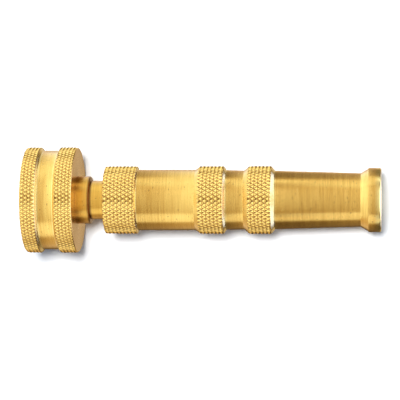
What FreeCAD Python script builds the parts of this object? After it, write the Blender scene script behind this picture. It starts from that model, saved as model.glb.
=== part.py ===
import FreeCAD, Part
import math
import os

# Adjustable twist nozzle for a garden hose, turned from solid brass.
# Millimetres. X is the axis of the whole nozzle and points the way the water goes. X = 0 is the
# inlet face of the coupling nut, where the hose screws in. The nozzle lies on its side, +Z up.
# It is drawn shut: the barrel is screwed back until its seat meets the seal at the stem's tip.
# A right-hand turn of the barrel about +X moves it forwards and opens it.

Vector = FreeCAD.Vector
ORIGIN = Vector(0, 0, 0)
AXIS = Vector(1, 0, 0)

# Hose thread in the coupling nut: 3/4 inch garden hose thread, 11.5 turns per inch.
HOSE_PITCH = 25.4 / 11.5
HOSE_MINOR_R = 12.35
HOSE_MAJOR_R = 13.6
HOSE_THREAD_END_X = 8.1
MOUTH_CHAMFER = 0.4
BORE_ARCS = 8
BORE_TOOL_START_X = -1.0

# Coupling nut.
NUT_LENGTH = 15.25
NUT_BAND_R = 15.7
NUT_GROOVE_R = 14.7
NUT_REAR_BAND_END_X = 4.15
NUT_GROOVE_START_X = 4.9
NUT_GROOVE_END_X = 9.6
NUT_FRONT_BAND_X = 10.3
NUT_EDGE_CHAMFER = 0.38
NUT_RELIEF_R = 13.7
NUT_WALL_X = 12.85
JOURNAL_CLEARANCE = 0.08

# Hose washer, held in the nut ahead of the thread.
WASHER_REAR_X = 8.2
WASHER_FRONT_X = 10.8
WASHER_OUTER_R = 12.6
WASHER_INNER_R = 8.0
WASHER_CHAMFER = 0.3

# Stem: a tube with a flange caught inside the nut, a journal, a screw thread and a closed tip.
FLANGE_REAR_X = 10.9
FLANGE_FRONT_X = 12.75
FLANGE_R = 11.8
FLANGE_CHAMFER = 0.2
JOURNAL_R = 7.0
JOURNAL_END_X = 19.1
JOURNAL_CHAMFER = 0.25
NECK_R = 5.7
INLET_R = 3.0
INLET_COUNTERSINK = 1.5
INLET_END_X = 85.0
DRILL_POINT_DEG = 118.0
TUBE_R = 4.6
TUBE_START_X = 49.0
TUBE_END_X = 90.85
CROSS_HOLE_R = 1.5
CROSS_HOLE_X = 82.0
CROSS_HOLES = 4

# How far a thread cutter reaches past the crests it cuts.
INTERNAL_OVERREACH = 0.3
EXTERNAL_OVERREACH = 0.2

# Screw thread between the stem and the barrel, right-hand, 60 degrees.
LEAD = 2.0
FLANK_TAN = math.tan(math.radians(30.0))
MALE_CREST_R = 6.85
MALE_ROOT_R = 5.75
FEMALE_CREST_R = 5.9
FEMALE_ROOT_R = 7.0
THREAD_PITCH_R = (MALE_CREST_R + MALE_ROOT_R) / 2
THREAD_FLANK_GAP = 0.16
MALE_THREAD_X = 24.3
MALE_THREAD_END_X = 36.1
FEMALE_THREAD_END_X = 36.5
THREAD_RUNOUT = 2.0
RELIEF_LENGTH = 2.0
THREAD_PHASE_X = 22.0

# O-ring between the stem and the barrel.
O_RING_X = 46.0
O_RING_MAJOR_R = 5.0
O_RING_SECTION_R = 0.75
O_RING_GROOVE_R = 4.15
O_RING_GROOVE_WIDTH = 2.2

# Shut-off seal and metering pin at the stem's tip.
TIP_SEAL_X = 91.7
TIP_SEAL_MAJOR_R = 3.9
TIP_SEAL_SECTION_R = 0.75
TIP_HUB_R = 3.1
TIP_LIP_X = 92.55
TIP_LIP_END_X = 93.0
TIP_LIP_R = 3.5
PIN_ROOT_X = 93.6
PIN_ROOT_R = 2.6
PIN_END_X = 99.5
PIN_END_R = 1.0
PIN_END_CHAMFER = 0.4

# Barrel, outside.
BARREL_REAR_X = 23.5
BARREL_FRONT_X = 105.0
BAND_R = 10.05
REAR_BAND_ROUND = 0.45
REAR_BAND_END_X = 32.9
REAR_BAND_FOOT_X = 33.25
BODY_R = 9.0
# Each grip band along X: rear foot, band start, band end, front foot.
GRIP_BANDS = [(50.3, 51.75, 58.6, 59.4), (64.7, 66.25, 72.6, 73.8)]
# Radius of the barrel at the rear foot and at the front foot of each band.
FOOT_R = [(8.95, 8.85), (8.7, 8.65)]
NOSE_END_X = 99.0
NOSE_END_R = 7.9
FLARE_END_X = 101.2
FLARE_END_R = 9.25
TIP_R = 9.45
TIP_ROUND = 1.2

# Barrel, inside.
ENTRY_R = 7.1
RELIEF_R = 7.1
BARREL_BORE_R = 5.85
SEAT_X = 91.0
ORIFICE_R = 3.0
ORIFICE_END_X = 98.0
MOUTH_R = 7.1
MOUTH_EDGE_ROUND = 0.3


def corner(outline, index):
    """The two ends and the middle of the arc that rounds one corner of an outline."""
    x, r, radius = outline[index]
    here = Vector(x, 0, r)
    before = Vector(outline[index - 1][0], 0, outline[index - 1][1])
    after_point = outline[(index + 1) % len(outline)]
    after = Vector(after_point[0], 0, after_point[1])
    back = (before - here).normalize()
    ahead = (after - here).normalize()
    half_angle = back.getAngle(ahead) / 2
    reach = radius / math.tan(half_angle)
    inward = (back + ahead).normalize()
    centre = here + inward * (radius / math.sin(half_angle))
    return here + back * reach, centre - inward * radius, here + ahead * reach


def lathe(outline):
    """Solid turned about X. Each outline point is (x, radius) or (x, radius, corner round)."""
    starts = []
    ends = []
    edges = []
    for index, point in enumerate(outline):
        if len(point) == 3:
            start, middle, end = corner(outline, index)
            edges.append(Part.Arc(start, middle, end).toShape())
        else:
            start = Vector(point[0], 0, point[1])
            end = start
        starts.append(start)
        ends.append(end)
    for index, end in enumerate(ends):
        following = starts[(index + 1) % len(starts)]
        edges.append(Part.LineSegment(end, following).toShape())
    wire = Part.Wire(Part.__sortEdges__(edges))
    return Part.Face(wire).revolve(ORIGIN, AXIS, 360)


def arc_bar(start_x, end_x, radius, arcs):
    """Round bar whose side is drawn as several equal arcs."""
    edges = []
    for index in range(arcs):
        angles = [2 * math.pi * (index + share) / arcs for share in (0, 0.5, 1)]
        points = [Vector(start_x, radius * math.cos(a), radius * math.sin(a)) for a in angles]
        edges.append(Part.Arc(*points).toShape())
    return Part.Face(Part.Wire(edges)).extrude(AXIS * (end_x - start_x))


def thread_tool(pitch, start_x, end_x, profile):
    """Right-hand helical cutter along X. The profile is a list of (x offset, radius)."""
    mean_radius = sum(radius for _, radius in profile) / len(profile)
    helix = Part.makeLongHelix(pitch, end_x - start_x, mean_radius, 0, False)
    points = [Vector(radius, 0, offset) for offset, radius in profile]
    section = Part.makePolygon(points + points[:1])
    tool = Part.Wire(helix.Edges).makePipeShell([section], True, True)
    tool.rotate(ORIGIN, Vector(0, 1, 0), 90)
    tool.translate(Vector(start_x, 0, 0))
    return tool


def internal_profile(pitch, pitch_r, root_r, inner_r, gap):
    """Section of a 60 degree internal groove: widest at inner_r and narrowest at root_r."""
    inner = pitch / 4 + (pitch_r - inner_r) * FLANK_TAN + gap / 2
    root = pitch / 4 + (pitch_r - root_r) * FLANK_TAN + gap / 2
    return [(-root, root_r), (root, root_r), (inner, inner_r), (-inner, inner_r)]


def external_profile(pitch, pitch_r, root_r, outer_r, gap):
    """Section of a 60 degree external groove: narrowest at root_r and widest at outer_r."""
    root = pitch / 4 + (root_r - pitch_r) * FLANK_TAN + gap / 2
    outer = pitch / 4 + (outer_r - pitch_r) * FLANK_TAN + gap / 2
    return [(-root, root_r), (root, root_r), (outer, outer_r), (-outer, outer_r)]


def coupling_nut():
    """Swivel nut: two grip bands with a groove between, a hose thread and a front wall."""
    stock_r = HOSE_MINOR_R - MOUTH_CHAMFER
    edge = NUT_EDGE_CHAMFER
    body = lathe([
        (0, HOSE_MINOR_R + MOUTH_CHAMFER),
        (2 * MOUTH_CHAMFER, stock_r),
        (HOSE_THREAD_END_X, stock_r),
        (HOSE_THREAD_END_X, NUT_RELIEF_R),
        (NUT_WALL_X, NUT_RELIEF_R, MOUTH_CHAMFER),
        (NUT_WALL_X, JOURNAL_R + JOURNAL_CLEARANCE),
        (NUT_LENGTH, JOURNAL_R + JOURNAL_CLEARANCE),
        (NUT_LENGTH, NUT_BAND_R - edge),
        (NUT_LENGTH - edge, NUT_BAND_R),
        (NUT_FRONT_BAND_X, NUT_BAND_R),
        (NUT_GROOVE_END_X, NUT_GROOVE_R),
        (NUT_GROOVE_START_X, NUT_GROOVE_R),
        (NUT_REAR_BAND_END_X, NUT_BAND_R),
        (edge, NUT_BAND_R),
        (0, NUT_BAND_R - edge),
    ])
    body = body.cut(arc_bar(BORE_TOOL_START_X, HOSE_THREAD_END_X, HOSE_MINOR_R, BORE_ARCS))
    pitch_r = (HOSE_MINOR_R + HOSE_MAJOR_R) / 2
    inner_r = HOSE_MINOR_R - INTERNAL_OVERREACH
    profile = internal_profile(HOSE_PITCH, pitch_r, HOSE_MAJOR_R, inner_r, 0)
    tool = thread_tool(HOSE_PITCH, -HOSE_PITCH, HOSE_THREAD_END_X + HOSE_PITCH / 2, profile)
    return body.cut(tool)


def hose_washer():
    """Flat rubber washer that seals the hose end against the stem's flange."""
    edge = WASHER_CHAMFER
    return lathe([
        (WASHER_REAR_X, WASHER_INNER_R + edge),
        (WASHER_REAR_X + edge, WASHER_INNER_R),
        (WASHER_FRONT_X - edge, WASHER_INNER_R),
        (WASHER_FRONT_X, WASHER_INNER_R + edge),
        (WASHER_FRONT_X, WASHER_OUTER_R - edge),
        (WASHER_FRONT_X - edge, WASHER_OUTER_R),
        (WASHER_REAR_X + edge, WASHER_OUTER_R),
        (WASHER_REAR_X, WASHER_OUTER_R - edge),
    ])


def stem_blank():
    """The stem as it comes off the lathe, before its holes and its thread."""
    crest_step = MALE_CREST_R - NECK_R
    groove_start_x = O_RING_X - O_RING_GROOVE_WIDTH / 2
    groove_end_x = O_RING_X + O_RING_GROOVE_WIDTH / 2
    return lathe([
        (FLANGE_REAR_X, 0),
        (FLANGE_REAR_X, FLANGE_R - FLANGE_CHAMFER),
        (FLANGE_REAR_X + FLANGE_CHAMFER, FLANGE_R),
        (FLANGE_FRONT_X, FLANGE_R),
        (FLANGE_FRONT_X, JOURNAL_R),
        (JOURNAL_END_X - JOURNAL_CHAMFER, JOURNAL_R),
        (JOURNAL_END_X, JOURNAL_R - JOURNAL_CHAMFER),
        (JOURNAL_END_X, NECK_R),
        (MALE_THREAD_X, NECK_R),
        (MALE_THREAD_X + crest_step, MALE_CREST_R),
        (MALE_THREAD_END_X - crest_step, MALE_CREST_R),
        (MALE_THREAD_END_X, NECK_R),
        (groove_start_x, NECK_R),
        (groove_start_x, O_RING_GROOVE_R),
        (groove_end_x, O_RING_GROOVE_R),
        (groove_end_x, NECK_R),
        (TUBE_START_X, NECK_R),
        (TUBE_START_X + NECK_R - TUBE_R, TUBE_R),
        (TUBE_END_X, TUBE_R),
        (TUBE_END_X, TIP_HUB_R),
        (TIP_LIP_X, TIP_HUB_R),
        (TIP_LIP_X, TIP_LIP_R),
        (TIP_LIP_END_X, TIP_LIP_R),
        (PIN_ROOT_X, PIN_ROOT_R),
        (PIN_END_X - PIN_END_CHAMFER, PIN_END_R),
        (PIN_END_X, PIN_END_R - PIN_END_CHAMFER),
        (PIN_END_X, 0),
    ])


def water_way():
    """Blind drilling from the inlet, with its countersink and the cross holes near the tip."""
    drill_point = INLET_R / math.tan(math.radians(DRILL_POINT_DEG / 2))
    sink_r = INLET_R + INLET_COUNTERSINK
    drilling = lathe([
        (FLANGE_REAR_X, 0),
        (FLANGE_REAR_X, sink_r),
        (FLANGE_REAR_X + INLET_COUNTERSINK, INLET_R),
        (INLET_END_X, INLET_R),
        (INLET_END_X + drill_point, 0),
    ])
    for index in range(CROSS_HOLES):
        angle = 2 * math.pi * index / CROSS_HOLES
        outward = Vector(0, math.cos(angle), math.sin(angle))
        start = Vector(CROSS_HOLE_X, 0, 0)
        drilling = drilling.fuse(Part.makeCylinder(CROSS_HOLE_R, 2 * TUBE_R, start, outward))
    return drilling


def stem():
    """Brass stem with its water way and its male thread."""
    outer_r = MALE_CREST_R + EXTERNAL_OVERREACH
    profile = external_profile(LEAD, THREAD_PITCH_R, MALE_ROOT_R, outer_r, THREAD_FLANK_GAP)
    start_x = THREAD_PHASE_X + LEAD / 2
    tool = thread_tool(LEAD, start_x, MALE_THREAD_END_X + THREAD_RUNOUT, profile)
    return stem_blank().cut(water_way()).cut(tool)


def stem_o_ring():
    """Rubber ring in the groove ahead of the screw thread."""
    return Part.makeTorus(O_RING_MAJOR_R, O_RING_SECTION_R, Vector(O_RING_X, 0, 0), AXIS)


def tip_seal():
    """Rubber ring behind the metering pin, which shuts off the water at the barrel's seat."""
    return Part.makeTorus(TIP_SEAL_MAJOR_R, TIP_SEAL_SECTION_R, Vector(TIP_SEAL_X, 0, 0), AXIS)


def barrel():
    """One-piece barrel: three grip bands, tapered nose and flared tip outside, screw thread, bore,
    seat, orifice and open mouth inside."""
    relief_end_x = FEMALE_THREAD_END_X + RELIEF_LENGTH
    seat_end_x = SEAT_X + BARREL_BORE_R - ORIFICE_R
    outline = [
        (BARREL_REAR_X, ENTRY_R),
        (BARREL_REAR_X, BAND_R, REAR_BAND_ROUND),
        (REAR_BAND_END_X, BAND_R),
        (REAR_BAND_FOOT_X, BODY_R),
    ]
    for (foot_x, start_x, end_x, front_foot_x), (rear_r, front_r) in zip(GRIP_BANDS, FOOT_R):
        outline += [(foot_x, rear_r), (start_x, BAND_R), (end_x, BAND_R), (front_foot_x, front_r)]
    outline += [
        (NOSE_END_X, NOSE_END_R),
        (FLARE_END_X, FLARE_END_R),
        (FLARE_END_X, TIP_R),
        (BARREL_FRONT_X, TIP_R, TIP_ROUND),
        (BARREL_FRONT_X, MOUTH_R, MOUTH_EDGE_ROUND),
        (ORIFICE_END_X, ORIFICE_R),
        (seat_end_x, ORIFICE_R),
        (SEAT_X, BARREL_BORE_R),
        (relief_end_x + RELIEF_R - BARREL_BORE_R, BARREL_BORE_R),
        (relief_end_x, RELIEF_R),
        (FEMALE_THREAD_END_X, RELIEF_R),
        (FEMALE_THREAD_END_X, FEMALE_CREST_R),
        (BARREL_REAR_X + ENTRY_R - FEMALE_CREST_R, FEMALE_CREST_R),
    ]
    inner_r = FEMALE_CREST_R - INTERNAL_OVERREACH
    profile = internal_profile(LEAD, THREAD_PITCH_R, FEMALE_ROOT_R, inner_r, THREAD_FLANK_GAP)
    tool = thread_tool(LEAD, THREAD_PHASE_X, FEMALE_THREAD_END_X + LEAD / 2, profile)
    return lathe(outline).cut(tool)


def single_solid(shape):
    """The one solid inside a result that may come back wrapped in a compound."""
    if len(shape.Solids) != 1:
        raise ValueError("expected one solid and found " + str(len(shape.Solids)))
    return shape.Solids[0]


PIECES = {
    "coupling_nut": coupling_nut,
    "hose_washer": hose_washer,
    "stem": stem,
    "stem_o_ring": stem_o_ring,
    "tip_seal": tip_seal,
    "barrel": barrel,
}

os.makedirs("parts", exist_ok=True)
for name, make in PIECES.items():
    piece = single_solid(make())
    piece.exportStep("parts/" + name + ".step")
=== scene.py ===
import math

import bmesh
import bpy
import numpy as np
from mathutils import Matrix, Vector


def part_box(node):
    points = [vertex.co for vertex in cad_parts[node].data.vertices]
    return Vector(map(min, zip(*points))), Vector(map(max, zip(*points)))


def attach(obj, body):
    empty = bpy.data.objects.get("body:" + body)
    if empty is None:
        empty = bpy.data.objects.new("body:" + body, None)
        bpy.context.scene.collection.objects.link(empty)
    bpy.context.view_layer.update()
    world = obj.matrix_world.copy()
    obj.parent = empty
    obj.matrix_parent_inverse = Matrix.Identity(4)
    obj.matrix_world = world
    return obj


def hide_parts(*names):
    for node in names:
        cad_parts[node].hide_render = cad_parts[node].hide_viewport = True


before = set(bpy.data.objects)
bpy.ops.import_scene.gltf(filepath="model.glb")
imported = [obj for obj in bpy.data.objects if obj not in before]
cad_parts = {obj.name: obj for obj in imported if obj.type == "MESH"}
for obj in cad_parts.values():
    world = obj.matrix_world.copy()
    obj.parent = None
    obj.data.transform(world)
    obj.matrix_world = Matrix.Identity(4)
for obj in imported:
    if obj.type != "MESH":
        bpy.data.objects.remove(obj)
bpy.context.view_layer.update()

# A brass hose nozzle lying on a pale table. Lengths are in millimetres and are turned into metres where
# a mesh, a material, a light or the camera is made. X runs along the nozzle towards its tip, and the
# skins of the turned pieces are grids: one row for each station along the outline, one column for each
# angle about X.

MM = 0.001

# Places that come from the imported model.
NUT_LOW, NUT_HIGH = (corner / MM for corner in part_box("coupling_nut"))
BARREL_LOW, BARREL_HIGH = (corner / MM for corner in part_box("barrel"))
WHOLE_LENGTH = BARREL_HIGH.x - NUT_LOW.x

# Turned edges: the radius of an edge with none of its own, the most that an arc turns from one point to
# the next, the angle from which an edge is shaded sharp, and how close points are made one.
EDGE_BREAK = 0.07
ARC_STEP = math.radians(20)
SHARP_ANGLE = math.radians(32)
WELD = 0.0002

# Diamond knurls. A cell of the diamond pattern is CELL columns wide and CELL rows long. A groove's flank
# is FLANK_SHARE of a tooth's pitch wide, the tops are up to HEIGHT_SPREAD of the depth lower than the
# band, and rows are SLOPE_FINENESS times closer where the outline slopes. Faces that are cut and lie
# within KNURL_FACE_DEPTH of a piece's largest radius have the knurl's material.
CELL = 8
FLANK_SHARE = 0.43
HEIGHT_SPREAD = 0.10
SLOPE_FINENESS = 3
KNURL_FACE_DEPTH = 0.6

# Coupling nut: two knurled bands with a plain groove between, and a hose thread inside.
NUT_BAND_R = NUT_HIGH.y
NUT_LENGTH = NUT_HIGH.x - NUT_LOW.x
NUT_EDGE = 0.38
NUT_REAR_BAND_END = 4.15
NUT_REAR_BAND_EDGE = 0.6
NUT_GROOVE_START = 4.9
NUT_GROOVE_END = 9.6
NUT_FRONT_BAND_START = 10.3
NUT_GROOVE_R = NUT_BAND_R - 1.0
NUT_TEETH = 84
NUT_KNURL_PERIOD = 2.03
NUT_KNURL_DEPTH = 0.28
HOSE_PITCH = 25.4 / 11.5
HOSE_MINOR_R = 12.35
HOSE_MAJOR_R = 13.6
HOSE_THREAD_END = 8.1
MOUTH_CHAMFER = 0.4
NUT_RELIEF_R = 13.7
NUT_WALL_X = 12.85
NUT_STEM_HOLE_R = 7.08
NUT_REAR_SEAM_R = 14.3
NUT_FRONT_SEAM_R = 12.0
NUT_INNER_COLUMNS = 168

# Barrel: stations are measured from its rear face.
BARREL_REAR = BARREL_LOW.x
BARREL_LENGTH = BARREL_HIGH.x - BARREL_LOW.x
BAND_R = BARREL_HIGH.y
REAR_BAND_ROUND = 0.45
REAR_BAND_END = 9.4
BODY_START = 9.75
BODY_START_R = 9.0
BODY_END = 26.8
BODY_END_R = 8.95
MIDDLE_BAND_START = 28.25
MIDDLE_BAND_END = 35.1
WAIST_START = 35.9
WAIST_START_R = 8.85
WAIST_END = 41.2
WAIST_END_R = 8.7
FRONT_BAND_START = 42.75
FRONT_BAND_END = 49.1
BAND_REAR_EDGE = 0.3
MIDDLE_BAND_FRONT_EDGE = 0.8
FRONT_BAND_FRONT_EDGE = 0.7
NOSE_START = 50.3
NOSE_START_R = 8.65
NOSE_END = 75.5
NOSE_END_R = 7.9
FLARE_END = 77.7
FLARE_END_R = 9.25
TIP_R = 9.45
TIP_ROUND = 1.2
BARREL_TEETH = 49
BARREL_KNURL_PERIOD = 2.17
BARREL_KNURL_DEPTH = 0.31
BARREL_PITCH = 2.0
BARREL_THREAD_PHASE_X = -1.5
BARREL_CREST_R = 5.9
BARREL_ROOT_R = 7.0
BARREL_THREAD_END = 13.0
RELIEF_R = 7.1
RELIEF_END = 15.0
BORE_R = 5.85
SEAT = 67.5
ORIFICE_R = 3.0
ORIFICE_END = 74.5
MOUTH_R = 7.1
MOUTH_EDGE_ROUND = 0.3
BARREL_REAR_SEAM_R = 8.5
BARREL_FRONT_SEAM_R = 8.0
SEAM_GAP = 0.2
BARREL_INNER_COLUMNS = 98
THREAD_FLANK_GAP = 0.16
FLANK_TAN = math.tan(math.radians(30))
THREAD_EDGE = 0.08

# Colours. TARNISH_SHARE is what dull brass keeps of each channel, and BLOOM is how much paler than the
# rest a rubber's bloom is.
BRASS = (0.87, 0.505, 0.107)
DULL_BRASS = (0.85, 0.455, 0.072)
KNURLED_BRASS = (0.87, 0.505, 0.108)
# Pale brass painted on as a highlight on steep shoulders and the tip's lip.
HIGHLIGHT_BRASS = (0.93, 0.68, 0.22)
# Dark brown: the colour of real pits and dirt, and of painted shade in grooves and on the stem.
DIRT_AND_SHADE = (0.30, 0.14, 0.032)
WASHER_BLACK = (0.022, 0.022, 0.021)
SEAL_BLACK = (0.015, 0.015, 0.015)
WHITE = (1.0, 1.0, 1.0)
TARNISH_SHARE = (0.83, 0.76, 0.64)
BLOOM = 2.4

# How fast the tool marks change along the radius, compared with along X.
MARKS_ON_FACES = 1.3

# Rings of another colour are (middle, half width, strength, colour) along X. Painted shade darkens the stem
# in the corner against the coupling nut and at the end of the collar.
COLLAR_END = 19.1
STEM_SHADE_RINGS = [(NUT_HIGH.x, 0.7, 0.35, DIRT_AND_SHADE), (COLLAR_END, 0.4, 0.9, DIRT_AND_SHADE)]

# The steep shoulders of the grooves, given as (middle, half width), and the lip of the tip get a painted
# highlight of paler brass, which keeps their reflections of one another from turning orange.
SHOULDERS = [
    (NUT_LOW.x + 4.55, 0.50),
    (NUT_LOW.x + 9.95, 0.35),
    (BARREL_REAR + 9.6, 0.25),
    (BARREL_REAR + 35.5, 0.55),
    (BARREL_REAR + 49.7, 0.65),
]
PAINTED_HIGHLIGHT_RINGS = [(middle, half_width, 0.8, HIGHLIGHT_BRASS) for middle, half_width in SHOULDERS]
PAINTED_HIGHLIGHT_RINGS.append((BARREL_HIGH.x, 1.0, 0.9, HIGHLIGHT_BRASS))

# Table: it touches the coupling's front band and the flared tip.
TABLE_HALF = 3000.0
REST_REAR_X = NUT_LENGTH - NUT_EDGE
REST_FRONT_X = WHOLE_LENGTH - TIP_ROUND

# Room light, made for reflections. A direction is three shares from 0 to 1: along, from the coupling's
# side to the tip's; across, from -Y to +Y; height, from straight down to straight up. A list holds
# (share, value) pairs. Lists that end in ALONG are brightnesses; the others say how they blend or scale.
OVERHEAD_ALONG = [
    (0.22, 2.3), (0.36, 1.75), (0.41, 1.08), (0.44, 0.69), (0.50, 0.56), (0.54, 0.44),
    (0.58, 0.40), (0.65, 1.95), (0.80, 1.95),
]
LEVEL_ALONG = [
    (0.15, 1.50), (0.25, 1.40), (0.37, 1.25), (0.42, 1.46), (0.445, 1.00), (0.50, 1.00),
    (0.55, 0.43), (0.60, 0.25), (0.66, 0.18),
]
SIDES_ALONG = [(0.20, 1.8), (0.36, 1.5), (0.45, 0.90), (0.54, 0.68), (0.60, 1.4), (0.74, 1.4)]
BELOW_ALONG = [
    (0.18, 1.40), (0.38, 1.50), (0.42, 1.45), (0.45, 0.62), (0.50, 0.23), (0.54, 0.12),
    (0.74, 0.18),
]
UNDERNEATH_ALONG = [(0.52, 0.12), (0.56, 0.62)]
UNDERNEATH_FAR_SIDE = (0.8, 0.8, 0.8)
OVERHEAD_BLEND = [(0.74, 0.0), (0.86, 1.0)]
UPPER_BLEND = [(0.40, 0.0), (0.54, 1.0)]
BELOW_BLEND = [(0.04, 0.0), (0.14, 1.0)]
FAR_SIDE_BLEND = [(0.52, 0.0), (0.62, 1.0)]
SIDES_BY_DISTANCE = [(0.30, 0.0), (0.40, 1.0)]
SIDES_BY_HEIGHT = [(0.49, 0.0), (0.53, 1.0), (0.60, 1.0), (0.68, 0.0)]
UPPER_ACROSS = [(0.12, 0.74), (0.30, 0.84), (0.5, 0.94), (0.65, 1.02), (0.8, 1.14), (0.97, 1.27)]
UPPER_ACROSS_EVENED = [(0.37, 0.0), (0.41, 0.8), (0.43, 0.8), (0.46, 0.0)]
BELOW_ACROSS = [(0.15, 0.55), (0.5, 0.9), (0.85, 1.1)]

# Colour of the room light by its brightness, as a share of LIGHT_SCALE: warm where dim, bluish where bright.
LIGHT_SCALE = 3.0
LIGHT_COLOURS = [
    (0.0, (0.0, 0.0, 0.0)), (0.067, (0.20, 0.16, 0.10)), (0.167, (0.50, 0.42, 0.26)),
    (0.25, (0.76, 0.665, 0.51)), (0.30, (0.90, 0.88, 0.86)), (0.36, (1.07, 1.20, 1.40)),
    (0.433, (1.26, 1.52, 2.0)), (0.567, (1.60, 2.05, 2.9)), (1.0, (2.8, 3.6, 5.2)),
]

# Camera: above the nozzle, a little towards the tip.
CAMERA_PLACE = Vector((108.0, 0.0, 603.8))
CAMERA_AIM = Vector((51.5, 0.0, 0.0))
LENS = 184.4


# ---------------------------------------------------------------- outlines and skins

def rounded(outline):
    """Points of an outline whose corners, given as (x, r) or (x, r, edge), become short arcs."""
    points = []
    for index, place in enumerate(outline):
        here = Vector(place[:2])
        edge = place[2] if len(place) == 3 else EDGE_BREAK
        if index in (0, len(outline) - 1):
            points.append(here)
            continue
        back = Vector(outline[index - 1][:2]) - here
        ahead = Vector(outline[index + 1][:2]) - here
        turn = math.pi - back.angle(ahead)
        if turn < ARC_STEP / 2 or edge == 0:
            points.append(here)
            continue
        reach = min(edge * math.tan(turn / 2), 0.45 * back.length, 0.45 * ahead.length)
        radius = reach / math.tan(turn / 2)
        back.normalize()
        ahead.normalize()
        centre = here + (back + ahead).normalized() * radius / math.cos(turn / 2)
        start = here + back * reach - centre
        end = here + ahead * reach - centre
        steps = max(2, math.ceil(turn / ARC_STEP))
        for step in range(steps + 1):
            share = step / steps
            spoke = start * math.sin((1 - share) * turn) + end * math.sin(share * turn)
            points.append(centre + spoke / math.sin(turn))
    return np.array([(p.x, p.y) for p in points])


def plain_skin(outline, columns):
    """Rows of a plain turned surface: x, radius and groove depth for each row and column."""
    points = rounded(outline)
    x = np.repeat(points[:, :1], columns + 1, axis=1)
    r = np.repeat(points[:, 1:], columns + 1, axis=1)
    return x, r, np.zeros_like(x)


def with_knurl_rows(points, floor_r, step):
    """Adds rows at even stations wherever the outline stands above the floor of the knurl."""
    rows = [points[0]]
    for before, after in zip(points[:-1], points[1:]):
        if after[0] > before[0] and max(before[1], after[1]) > floor_r:
            spacing = step if before[1] == after[1] else step / SLOPE_FINENESS
            first = math.floor(before[0] / spacing) + 1
            for index in range(first, math.ceil(after[0] / spacing)):
                x = index * spacing
                if x - before[0] > spacing / 5 and after[0] - x > spacing / 5:
                    share = (x - before[0]) / (after[0] - before[0])
                    rows.append(before + share * (after - before))
        rows.append(after)
    return np.array(rows)


def knurled_skin(outline, band_r, teeth, period, depth, seed):
    """Rows of a turned surface with a diamond knurl of the stated depth under band_r. The knurl cuts
    whatever stands above its floor, so it runs out through the edges of the bands."""
    points = with_knurl_rows(rounded(outline), band_r - depth, period / CELL)
    x = np.repeat(points[:, :1], teeth * CELL + 1, axis=1)
    envelope = np.repeat(points[:, 1:], teeth * CELL + 1, axis=1)
    around = np.arange(teeth * CELL + 1) / CELL
    right_hand = around + x / period
    left_hand = around - x / period
    rise = np.minimum(flank(right_hand), flank(left_hand))
    spread = np.random.default_rng(seed).uniform(-HEIGHT_SPREAD, 0, (teeth, teeth))
    cell_a = np.floor(right_hand).astype(int) % teeth
    cell_b = np.floor(left_hand).astype(int) % teeth
    cut_r = band_r - depth + depth * rise * (1 + spread[cell_a, cell_b])
    groove = np.where(cut_r < envelope, 1 - rise, 0.0)
    return x, np.minimum(envelope, cut_r), groove


def flank(turns):
    """Height share of a row of teeth: 0 in the middle of each groove, 1 on the flat tops."""
    return np.clip(np.abs(turns - np.round(turns)) / FLANK_SHARE, 0, 1)


def thread_profile(pitch, crest_r, root_r, gap):
    """Offset from the middle of a groove, and radius, over one pitch of an internal thread."""
    middle_r = (crest_r + root_r) / 2
    root = pitch / 4 + (middle_r - root_r) * FLANK_TAN + gap / 2
    crest = pitch / 4 + (middle_r - crest_r) * FLANK_TAN + gap / 2
    corners = [
        (-root, root_r),
        (root, root_r, THREAD_EDGE),
        (crest, crest_r, THREAD_EDGE),
        (pitch - crest, crest_r, THREAD_EDGE),
        (pitch - root, root_r, THREAD_EDGE),
        (pitch + root, root_r),
    ]
    return rounded(corners)[1:-1]


def thread_skin(pitch, phase_x, profile, start_x, end_x, columns):
    """Rows of a right-hand internal thread between two stations. The rows follow the helix."""
    angle = np.linspace(0, 2 * math.pi, columns + 1)
    middle = phase_x + pitch * (angle + math.pi / 2) / (2 * math.pi)
    first = math.floor((start_x - middle[-1]) / pitch) - 1
    last = math.ceil((end_x - middle[0]) / pitch) + 1
    offsets = [turn * pitch + offset for turn in range(first, last) for offset in profile[:, 0]]
    x = np.clip(middle + np.array(offsets)[:, None], start_x, end_x)
    r = np.interp(x - middle, profile[:, 0], profile[:, 1], period=pitch)
    low, high = profile[:, 1].min(), profile[:, 1].max()
    return x, r, (r - low) / (high - low)


def seam_row(r, columns):
    """One row of a skin: the circle on a piece's rear face where its two skins meet."""
    return tuple(part[:1] for part in plain_skin([(0, r), (0, r)], columns))


def joined(*skins):
    """One skin from several with the same columns, laid end to end."""
    return tuple(np.concatenate([skin[part] for skin in skins]) for part in range(3))


# ---------------------------------------------------------------- meshes

def row_faces(skin, first_vertex, knurl_period):
    """Quads between the rows of a skin. In a knurl each quad is split along the nearer groove.
    A skin without a knurl has None as its period."""
    x, r, groove = skin
    rows, columns = x.shape
    number = first_vertex + np.arange(rows * columns).reshape(rows, columns)
    a = number[:-1, :-1]
    b = number[:-1, 1:]
    c = number[1:, 1:]
    d = number[1:, :-1]
    quads = np.stack([a, b, c, d], axis=-1)
    if knurl_period is None:
        return quads.reshape(-1, 4).tolist()
    around = (np.arange(columns - 1) + 0.5) / CELL
    middle_x = (x[:-1, :-1] + x[1:, 1:]) / 2
    falls = flank(around + middle_x / knurl_period) < flank(around - middle_x / knurl_period)
    knurled = (groove[:-1, :-1] + groove[:-1, 1:] + groove[1:, 1:] + groove[1:, :-1]) > 0
    faces = quads[~knurled].tolist()
    one_way = quads[knurled & falls]
    other_way = quads[knurled & ~falls]
    faces += one_way[:, [0, 1, 3]].tolist() + one_way[:, [1, 2, 3]].tolist()
    faces += other_way[:, [0, 1, 2]].tolist() + other_way[:, [0, 2, 3]].tolist()
    return faces


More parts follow.
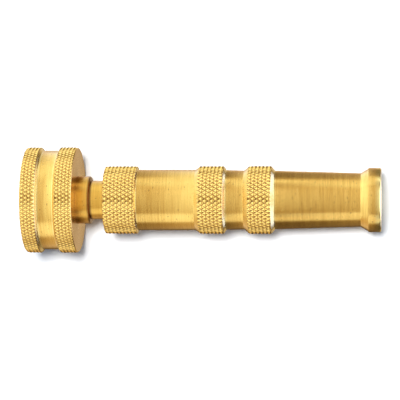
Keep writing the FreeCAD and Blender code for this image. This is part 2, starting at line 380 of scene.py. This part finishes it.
def bridge_faces(fine_row, coarse_row):
    """Flat faces between a row with many columns and a row with a whole fraction of them."""
    ratio = (len(fine_row) - 1) // (len(coarse_row) - 1)
    faces = []
    for column in range(len(coarse_row) - 1):
        arc = fine_row[column * ratio:(column + 1) * ratio + 1].tolist()
        faces.append([int(coarse_row[column]), *arc, int(coarse_row[column + 1])])
    return faces


def turned_mesh(name, outer, inner, knurl_period, rear_x):
    """Closed mesh from an outer and an inner skin that meet on the flat end faces."""
    vertices = []
    grooves = []
    numbers = []
    faces = []
    total = 0
    for skin, period in ((outer, knurl_period), (inner, None)):
        x, r, groove = skin
        angle = np.linspace(0, 2 * math.pi, x.shape[1])
        vertices.append(np.stack([x + rear_x, r * np.cos(angle), r * np.sin(angle)], axis=-1))
        grooves.append(groove.ravel())
        numbers.append(total + np.arange(x.size).reshape(x.shape))
        faces += row_faces(skin, total, period)
        total += x.size
    faces += bridge_faces(numbers[0][0], numbers[1][-1])
    faces += bridge_faces(numbers[0][-1], numbers[1][0])
    points = np.concatenate([part.reshape(-1, 3) for part in vertices]) * MM
    mesh = bpy.data.meshes.new(name)
    mesh.from_pydata(points.tolist(), [], faces)
    mesh.attributes.new("groove", "FLOAT", "POINT").data.foreach_set("value", np.concatenate(grooves))
    welded = bmesh.new()
    welded.from_mesh(mesh)
    bmesh.ops.remove_doubles(welded, verts=welded.verts, dist=WELD * MM)
    bmesh.ops.dissolve_degenerate(welded, edges=welded.edges, dist=WELD * MM)
    bmesh.ops.recalc_face_normals(welded, faces=welded.faces)
    welded.to_mesh(mesh)
    welded.free()
    mesh.shade_smooth()
    mesh.set_sharp_from_angle(angle=SHARP_ANGLE)
    mark_knurl_faces(mesh, outer[1].max() - KNURL_FACE_DEPTH)
    return mesh


def mark_knurl_faces(mesh, least_r):
    """Gives the cut faces outside least_r the second material slot."""
    places = np.zeros(len(mesh.vertices) * 3)
    mesh.vertices.foreach_get("co", places)
    radius = np.hypot(*places.reshape(-1, 3)[:, 1:].T) / MM
    groove = np.zeros(len(mesh.vertices))
    mesh.attributes["groove"].data.foreach_get("value", groove)
    corners = np.zeros(len(mesh.loops), int)
    mesh.loops.foreach_get("vertex_index", corners)
    starts = np.zeros(len(mesh.polygons), int)
    mesh.polygons.foreach_get("loop_start", starts)
    cut = np.maximum.reduceat(groove[corners], starts) > 0
    outside = np.minimum.reduceat(radius[corners], starts) > least_r
    mesh.polygons.foreach_set("material_index", (cut & outside).astype(int))


def add_piece(mesh, body, node, materials):
    """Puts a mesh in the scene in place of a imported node, riding on that node's body."""
    piece = bpy.data.objects.new(mesh.name, mesh)
    bpy.context.scene.collection.objects.link(piece)
    for material in materials:
        mesh.materials.append(material)
    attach(piece, body)
    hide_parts(node)


def coupling_nut_mesh():
    """Swivel nut with two knurled bands outside and the hose thread inside."""
    outer = knurled_skin([
        (0, NUT_REAR_SEAM_R + SEAM_GAP),
        (0, NUT_BAND_R - NUT_EDGE),
        (NUT_EDGE, NUT_BAND_R),
        (NUT_REAR_BAND_END, NUT_BAND_R, NUT_REAR_BAND_EDGE),
        (NUT_GROOVE_START, NUT_GROOVE_R),
        (NUT_GROOVE_END, NUT_GROOVE_R),
        (NUT_FRONT_BAND_START, NUT_BAND_R),
        (NUT_LENGTH - NUT_EDGE, NUT_BAND_R),
        (NUT_LENGTH, NUT_BAND_R - NUT_EDGE),
        (NUT_LENGTH, NUT_FRONT_SEAM_R + SEAM_GAP),
    ], NUT_BAND_R, NUT_TEETH, NUT_KNURL_PERIOD, NUT_KNURL_DEPTH, seed=3)
    profile = thread_profile(HOSE_PITCH, HOSE_MINOR_R, HOSE_MAJOR_R, 0)
    thread = thread_skin(HOSE_PITCH, -HOSE_PITCH, profile, MOUTH_CHAMFER, HOSE_THREAD_END,
                         NUT_INNER_COLUMNS)
    # The thread where it meets the rear face, opened to the mouth's chamfer.
    mouth = thread_skin(HOSE_PITCH, -HOSE_PITCH, profile, 0, 0, NUT_INNER_COLUMNS)
    mouth_row = (mouth[0][:1], np.maximum(mouth[1][:1], HOSE_MINOR_R + MOUTH_CHAMFER), mouth[2][:1])
    front = plain_skin([
        (NUT_LENGTH, NUT_FRONT_SEAM_R),
        (NUT_LENGTH, NUT_STEM_HOLE_R),
        (NUT_WALL_X, NUT_STEM_HOLE_R),
        (NUT_WALL_X, NUT_RELIEF_R, MOUTH_CHAMFER),
        (HOSE_THREAD_END, NUT_RELIEF_R),
    ], NUT_INNER_COLUMNS)
    backwards = tuple(part[::-1] for part in thread)
    inner = joined(front, backwards, mouth_row, seam_row(NUT_REAR_SEAM_R, NUT_INNER_COLUMNS))
    return turned_mesh("coupling_nut_turned", outer, inner, NUT_KNURL_PERIOD, NUT_LOW.x)


def barrel_mesh():
    """Barrel with three knurled bands, tapered nose, flared tip, screw thread, bore and mouth."""
    outer = knurled_skin([
        (0, BARREL_REAR_SEAM_R + SEAM_GAP),
        (0, BAND_R, REAR_BAND_ROUND),
        (REAR_BAND_END, BAND_R),
        (BODY_START, BODY_START_R),
        (BODY_END, BODY_END_R),
        (MIDDLE_BAND_START, BAND_R, BAND_REAR_EDGE),
        (MIDDLE_BAND_END, BAND_R, MIDDLE_BAND_FRONT_EDGE),
        (WAIST_START, WAIST_START_R),
        (WAIST_END, WAIST_END_R),
        (FRONT_BAND_START, BAND_R, BAND_REAR_EDGE),
        (FRONT_BAND_END, BAND_R, FRONT_BAND_FRONT_EDGE),
        (NOSE_START, NOSE_START_R),
        (NOSE_END, NOSE_END_R),
        (FLARE_END, FLARE_END_R),
        (FLARE_END, TIP_R),
        (BARREL_LENGTH, TIP_R, TIP_ROUND),
        (BARREL_LENGTH, BARREL_FRONT_SEAM_R + SEAM_GAP),
    ], BAND_R, BARREL_TEETH, BARREL_KNURL_PERIOD, BARREL_KNURL_DEPTH, seed=5)
    profile = thread_profile(BARREL_PITCH, BARREL_CREST_R, BARREL_ROOT_R, THREAD_FLANK_GAP)
    x, r, groove = thread_skin(BARREL_PITCH, BARREL_THREAD_PHASE_X, profile, 0, BARREL_THREAD_END,
                               BARREL_INNER_COLUMNS)
    # The thread starts with a 45 degree chamfer from the relief's radius.
    chamfered_r = np.maximum(r, RELIEF_R - x)
    backwards = (x[::-1], chamfered_r[::-1], groove[::-1])
    front = plain_skin([
        (BARREL_LENGTH, BARREL_FRONT_SEAM_R),
        (BARREL_LENGTH, MOUTH_R, MOUTH_EDGE_ROUND),
        (ORIFICE_END, ORIFICE_R),
        (SEAT + BORE_R - ORIFICE_R, ORIFICE_R),
        (SEAT, BORE_R),
        (RELIEF_END + RELIEF_R - BORE_R, BORE_R),
        (RELIEF_END, RELIEF_R),
        (BARREL_THREAD_END, RELIEF_R),
    ], BARREL_INNER_COLUMNS)
    inner = joined(front, backwards, seam_row(BARREL_REAR_SEAM_R, BARREL_INNER_COLUMNS))
    return turned_mesh("barrel_turned", outer, inner, BARREL_KNURL_PERIOD, BARREL_REAR)


# ---------------------------------------------------------------- materials

class Graph:
    """Short way to add and join the nodes of a material or world."""

    def __init__(self, owner):
        owner.use_nodes = True
        self.tree = owner.node_tree
        self.tree.nodes.clear()

    def add(self, kind, **settings):
        node = self.tree.nodes.new(kind)
        for name, value in settings.items():
            if name in node.inputs:
                node.inputs[name].default_value = value
            else:
                setattr(node, name, value)
        return node

    def join(self, output, target):
        self.tree.links.new(output, target)

    def math(self, operation, a, b=0.0):
        node = self.add("ShaderNodeMath", operation=operation)
        for socket, value in zip(node.inputs, (a, b)):
            if isinstance(value, (int, float)):
                socket.default_value = value
            else:
                self.join(value, socket)
        return node.outputs[0]

    def ramp(self, factor, stops):
        """Stops are (position, value), where a value is a number or a colour."""
        node = self.add("ShaderNodeValToRGB")
        elements = node.color_ramp.elements
        while len(elements) < len(stops):
            elements.new(0.5)
        for element, (position, value) in zip(elements, stops):
            element.position = position
            element.color = (*value, 1) if isinstance(value, tuple) else (value, value, value, 1)
        self.join(factor, node.inputs["Fac"])
        return node.outputs["Color"]

    def show(self, shader, output="ShaderNodeOutputMaterial"):
        """Puts a shader on the output of the material or world."""
        self.join(shader.outputs[0], self.add(output).inputs["Surface"])

    def mix(self, factor, a, b, blend="MIX"):
        node = self.add("ShaderNodeMix", data_type="RGBA", blend_type=blend)
        for socket, value in zip((node.inputs[0], node.inputs[6], node.inputs[7]), (factor, a, b)):
            if isinstance(value, (int, float)):
                socket.default_value = value
            elif isinstance(value, tuple):
                socket.default_value = (*value, 1)
            else:
                self.join(value, socket)
        return node.outputs[2]


def turning_coordinates(graph, fine, coarse):
    """Texture place that changes fast along X and along the radius, and slowly around the axis.
    Fine and coarse are the sizes of the pattern in those directions."""
    place = graph.add("ShaderNodeTexCoord").outputs["Object"]
    parts = graph.add("ShaderNodeSeparateXYZ")
    graph.join(place, parts.inputs[0])
    x, y, z = parts.outputs
    radius = graph.math("SQRT", graph.math("ADD", graph.math("MULTIPLY", y, y),
                                           graph.math("MULTIPLY", z, z)))
    along = graph.math("ADD", x, graph.math("MULTIPLY", radius, MARKS_ON_FACES))
    combined = graph.add("ShaderNodeCombineXYZ")
    graph.join(graph.math("MULTIPLY", along, 1 / (fine * MM)), combined.inputs[0])
    graph.join(graph.math("MULTIPLY", y, 1 / (coarse * MM)), combined.inputs[1])
    graph.join(graph.math("MULTIPLY", z, 1 / (coarse * MM)), combined.inputs[2])
    return combined.outputs[0]


def noise(graph, place, scale=1.0, detail=2.0, roughness=0.5):
    """Soft noise from 0 to 1. Where place is in metres, scale is in features per metre."""
    node = graph.add("ShaderNodeTexNoise", Scale=scale, Detail=detail, Roughness=roughness)
    graph.join(place, node.inputs["Vector"])
    return node.outputs["Fac"]


def ringed(graph, colour, place, rings):
    """The colour with rings about X laid over it. Each is full to 0.7 of its half width and gone at
    twice its half width."""
    along = graph.add("ShaderNodeSeparateXYZ")
    graph.join(place, along.inputs[0])
    for middle, half_width, strength, ring_colour in rings:
        distance = graph.math("ABSOLUTE", graph.math("SUBTRACT", along.outputs[0], middle * MM))
        share = graph.math("DIVIDE", distance, 2 * half_width * MM)
        colour = graph.mix(graph.ramp(share, [(0.35, strength), (1.0, 0.0)]), colour, ring_colour)
    return colour


def bumped_surface(graph, colour, roughness, bump_height, bump_strength, bump_distance, **settings):
    """Puts a principled shader on the material's output and returns it for more joins."""
    bump = graph.add("ShaderNodeBump", Strength=bump_strength, Distance=bump_distance * MM)
    graph.join(bump_height, bump.inputs["Height"])
    shader = graph.add("ShaderNodeBsdfPrincipled", **settings)
    graph.join(colour, shader.inputs["Base Color"])
    graph.join(roughness, shader.inputs["Roughness"])
    graph.join(bump.outputs["Normal"], shader.inputs["Normal"])
    graph.show(shader)
    return shader


def brass_material(name, bright, marks_contrast, least_roughness, anisotropy, bump_strength,
                   rings=()):
    """Uncoated brass: fine circumferential tool marks, slight tarnish, pits, grooves darkened by painted
    shade with some dirt, and rings of another colour that are painted shade or painted highlights."""
    material = bpy.data.materials.new(name)
    graph = Graph(material)
    fine_marks = noise(graph, turning_coordinates(graph, fine=0.32, coarse=9.0))
    wide_marks = noise(graph, turning_coordinates(graph, fine=1.2, coarse=14.0), detail=3.0)
    place = graph.add("ShaderNodeTexCoord").outputs["Object"]
    tarnish = noise(graph, place, scale=110.0, detail=5.0, roughness=0.65)
    pits = noise(graph, turning_coordinates(graph, fine=0.5, coarse=1.1), roughness=0.6)
    groove = graph.add("ShaderNodeAttribute", attribute_name="groove").outputs["Fac"]

    dull = tuple(channel * share for channel, share in zip(bright, TARNISH_SHARE))
    marks = graph.math("ADD", graph.math("MULTIPLY", fine_marks, 0.75),
                       graph.math("MULTIPLY", wide_marks, 0.25))
    marks = graph.ramp(marks, [(0.34, 0.0), (0.60, 1.0)])
    colour = graph.mix(graph.math("MULTIPLY", graph.math("SUBTRACT", 1.0, marks), marks_contrast),
                       bright, dull)
    colour = graph.mix(graph.ramp(tarnish, [(0.48, 0.0), (0.75, 0.6)]), colour, dull)
    colour = graph.mix(graph.ramp(pits, [(0.65, 0.0), (0.72, 0.65)]), colour, DIRT_AND_SHADE)
    # Painted shade with some dirt: the deep parts of knurl and thread grooves are darkened.
    colour = graph.mix(graph.ramp(groove, [(0.50, 0.0), (1.0, 0.85)]), colour, DIRT_AND_SHADE)
    colour = ringed(graph, colour, place, rings)

    roughness = graph.math("ADD", least_roughness, graph.math("MULTIPLY", wide_marks, 0.08))
    roughness = graph.math("ADD", roughness, graph.math("MULTIPLY", tarnish, 0.06))
    shader = bumped_surface(graph, colour, roughness, graph.math("ADD", fine_marks, wide_marks),
                            bump_strength, 0.01, Metallic=1.0, Anisotropic=anisotropy)
    shader.inputs["Anisotropic Rotation"].default_value = 0.25
    tangent = graph.add("ShaderNodeTangent", direction_type="RADIAL", axis="X")
    graph.join(tangent.outputs["Tangent"], shader.inputs["Tangent"])
    return material


def rubber_material(name, tone, roughness_low, roughness_high):
    """Black rubber with a fine moulded grain and a faint pale bloom."""
    material = bpy.data.materials.new(name)
    graph = Graph(material)
    place = graph.add("ShaderNodeTexCoord").outputs["Object"]
    grain = noise(graph, place, scale=2500.0, detail=3.0)
    bloom = noise(graph, place, scale=250.0, detail=4.0)
    pale = tuple(channel * BLOOM for channel in tone)
    colour = graph.mix(graph.ramp(bloom, [(0.45, 0.0), (0.75, 1.0)]), tone, pale)
    roughness = graph.math("ADD", roughness_low,
                           graph.math("MULTIPLY", bloom, roughness_high - roughness_low))
    bumped_surface(graph, colour, roughness, grain, bump_strength=0.4, bump_distance=0.03)
    return material


def table_material():
    """Plain white matt table top."""
    material = bpy.data.materials.new("table_white")
    graph = Graph(material)
    place = graph.add("ShaderNodeTexCoord").outputs["Object"]
    speckle = noise(graph, place, scale=400.0)
    colour = graph.mix(speckle, (0.86, 0.865, 0.88), (0.88, 0.885, 0.90))
    shader = graph.add("ShaderNodeBsdfDiffuse")
    graph.join(colour, shader.inputs["Color"])
    graph.show(shader)
    return material


# ---------------------------------------------------------------- table, lights, camera

def add_table():
    """Pale table that the nozzle rests on, by the coupling's front band and the flared tip."""
    slope = (NUT_BAND_R - TIP_R) / (REST_FRONT_X - REST_REAR_X)
    corners = []
    for x, y in ((-1, -1), (1, -1), (1, 1), (-1, 1)):
        x *= TABLE_HALF
        corners.append((x * MM, y * TABLE_HALF * MM, (slope * (x - REST_REAR_X) - NUT_BAND_R) * MM))
    mesh = bpy.data.meshes.new("table")
    mesh.from_pydata(corners, [], [(0, 1, 2, 3)])
    table = bpy.data.objects.new("table", mesh)
    bpy.context.scene.collection.objects.link(table)
    mesh.materials.append(table_material())
    table.visible_glossy = False


def add_softbox(name, place, aim, width, height, radiance, colour):
    """Rectangular soft light at place, facing aim. Its width lies along X where it can."""
    place = Vector(place) * MM
    aim = Vector(aim) * MM
    light = bpy.data.lights.new(name, "AREA")
    light.shape = "RECTANGLE"
    light.size = width * MM
    light.size_y = height * MM
    light.energy = radiance * light.size * light.size_y * math.pi
    light.color = colour
    box = bpy.data.objects.new(name, light)
    box.location = place
    box.rotation_euler = (aim - place).to_track_quat("-Z", "Y").to_euler()
    box.visible_camera = False
    bpy.context.scene.collection.objects.link(box)
    return box


def room_brightness(graph, along, across, height):
    """Brightness of the room light in the direction that the three shares give."""
    level = graph.ramp(along, LEVEL_ALONG)
    from_middle = graph.math("ABSOLUTE", graph.math("SUBTRACT", across, 0.5))
    sides = graph.mix(1.0, graph.ramp(from_middle, SIDES_BY_DISTANCE),
                      graph.ramp(height, SIDES_BY_HEIGHT), "MULTIPLY")
    level = graph.mix(sides, level, graph.ramp(along, SIDES_ALONG))
    upper = graph.mix(graph.ramp(height, OVERHEAD_BLEND), level, graph.ramp(along, OVERHEAD_ALONG))
    upper_share = graph.mix(graph.ramp(along, UPPER_ACROSS_EVENED),
                            graph.ramp(across, UPPER_ACROSS), WHITE)
    upper = graph.mix(1.0, upper, upper_share, "MULTIPLY")

    below = graph.mix(1.0, graph.ramp(along, BELOW_ALONG), graph.ramp(across, BELOW_ACROSS),
                      "MULTIPLY")
    underneath = graph.mix(graph.ramp(across, FAR_SIDE_BLEND),
                           graph.ramp(along, UNDERNEATH_ALONG), UNDERNEATH_FAR_SIDE)
    below = graph.mix(graph.ramp(height, BELOW_BLEND), underneath, below)
    return graph.mix(graph.ramp(height, UPPER_BLEND), below, upper)


def add_world():
    """Room light by direction. It is reflected in the pieces and doesn't light the table."""
    world = bpy.data.worlds.new("studio")
    bpy.context.scene.world = world
    graph = Graph(world)
    direction = graph.add("ShaderNodeSeparateXYZ")
    graph.join(graph.add("ShaderNodeTexCoord").outputs["Generated"], direction.inputs[0])
    shares = [graph.math("ADD", graph.math("MULTIPLY", part, 0.5), 0.5)
              for part in direction.outputs]
    brightness = room_brightness(graph, *shares)
    colour = graph.ramp(graph.math("DIVIDE", brightness, LIGHT_SCALE), LIGHT_COLOURS)
    background = graph.add("ShaderNodeBackground", Strength=1.0)
    graph.join(colour, background.inputs["Color"])
    graph.show(background, output="ShaderNodeOutputWorld")
    world.cycles_visibility.diffuse = False


def add_lights():
    """A key and a fill from above light the table and the rubber, and aren't reflected. The other
    two softboxes are only reflected."""
    middle = (WHOLE_LENGTH / 2, 0, 0)
    key = add_softbox("key", (10, 122, 880), middle, width=220, height=220, radiance=74.0,
                      colour=(1.0, 0.995, 0.97))
    fill = add_softbox("fill", (50, 0, 700), middle, width=1100, height=1100, radiance=0.76,
                       colour=(0.66, 0.88, 1.20))
    near = add_softbox("near_side", (-40, -420, 130), (20, 0, 0), width=400, height=310,
                       radiance=0.57, colour=(0.68, 1.0, 1.75))
    beyond = add_softbox("beyond_tip", (500, 0, -35), middle, width=640, height=1040,
                         radiance=2.0, colour=(0.76, 1.0, 2.2))
    for light in (key, fill):
        light.visible_glossy = False
    for light in (near, beyond):
        light.visible_diffuse = False


def add_camera():
    """Camera at its place, turned to its aim, with X to the right in the picture."""
    camera = bpy.data.objects.new("camera", bpy.data.cameras.new("camera"))
    camera.data.lens = LENS
    camera.data.clip_end = 100
    ahead = (CAMERA_AIM - CAMERA_PLACE).normalized()
    right = ahead.cross(Vector((0, 1, 0))).normalized()
    up = right.cross(ahead)
    turned = Matrix((right, up, -ahead)).transposed().to_4x4()
    camera.matrix_world = Matrix.Translation(CAMERA_PLACE * MM) @ turned
    bpy.context.scene.collection.objects.link(camera)
    bpy.context.scene.camera = camera


turned_brass = brass_material("turned_brass", BRASS, marks_contrast=0.8, least_roughness=0.18,
                              anisotropy=0.6, bump_strength=0.4, rings=PAINTED_HIGHLIGHT_RINGS)
knurled_brass = brass_material("knurled_brass", KNURLED_BRASS, marks_contrast=0.3,
                               least_roughness=0.12, anisotropy=0.0, bump_strength=0.2)
stem_brass = brass_material("stem_brass", DULL_BRASS, marks_contrast=0.8, least_roughness=0.24,
                            anisotropy=0.5, bump_strength=0.4, rings=STEM_SHADE_RINGS)
washer_rubber = rubber_material("washer_rubber", WASHER_BLACK, roughness_low=0.6,
                                roughness_high=0.85)
seal_rubber = rubber_material("seal_rubber", SEAL_BLACK, roughness_low=0.4, roughness_high=0.6)

add_piece(coupling_nut_mesh(), "coupling", "coupling_nut", [turned_brass, knurled_brass])
add_piece(barrel_mesh(), "barrel", "barrel", [turned_brass, knurled_brass])

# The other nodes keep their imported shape.
for node, material in (("stem", stem_brass), ("hose_washer", washer_rubber),
                       ("stem_o_ring", seal_rubber), ("tip_seal", seal_rubber)):
    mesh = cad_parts[node].data
    mesh.materials.clear()
    mesh.materials.append(material)

add_table()
add_world()
add_lights()
add_camera()
bpy.context.scene.view_settings.view_transform = "Standard"
